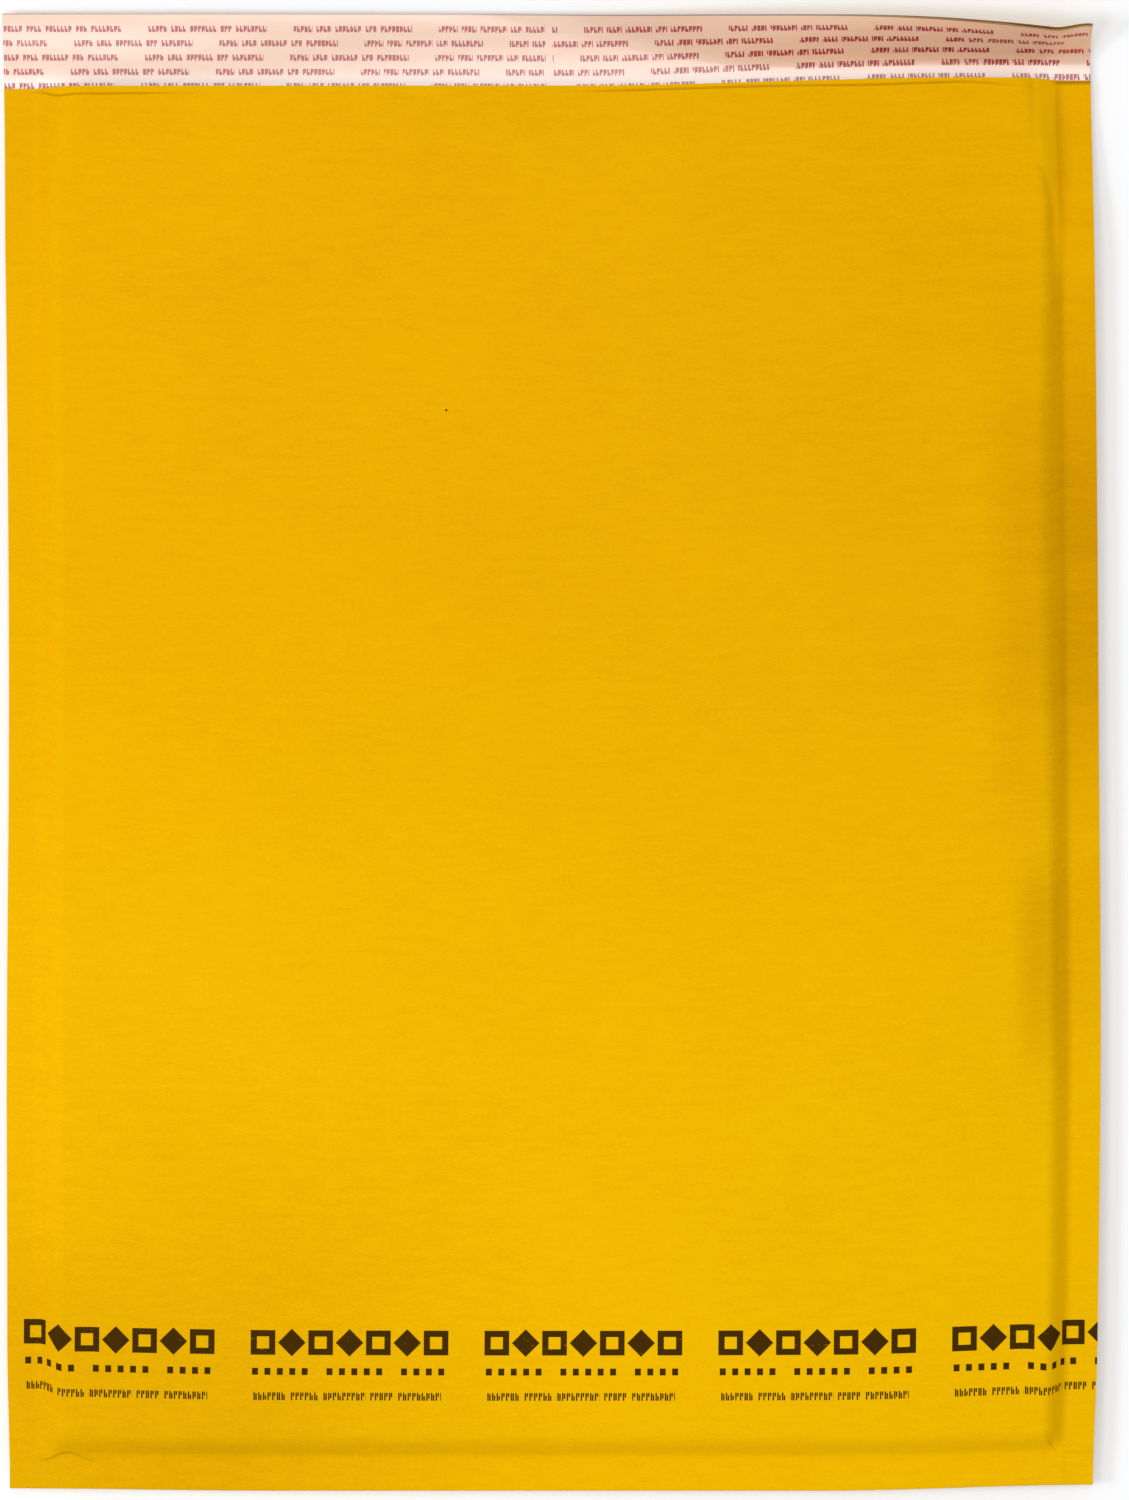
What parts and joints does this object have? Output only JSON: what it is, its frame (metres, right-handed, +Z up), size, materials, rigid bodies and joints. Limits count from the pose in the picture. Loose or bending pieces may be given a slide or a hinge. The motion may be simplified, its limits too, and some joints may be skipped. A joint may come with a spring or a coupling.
{
  "type": "padded envelope",
  "caption": "Air-cell lined paper mailing envelope, empty and lying flat, with its flap open and the release liner still over the adhesive.",
  "frame": {"origin": "on the table, on the resting face of the back leaf, under the middle of the envelope's width and open length", "axes": "+Y from the bottom fold to the flap, +X across the envelope, +Z up from the table"},
  "size_m": [0.3659, 0.4922, 0.0186],
  "materials": {
    "paper": "matte",
    "film": "gloss",
    "adhesive": "gloss",
    "liner": "satin"
  },
  "bodies": {
    "root": {"paper_wrap": "paper", "air_cell_lining": "film", "adhesive_strip": "adhesive", "release_liner": "liner"}
  },
  "joints": []
}
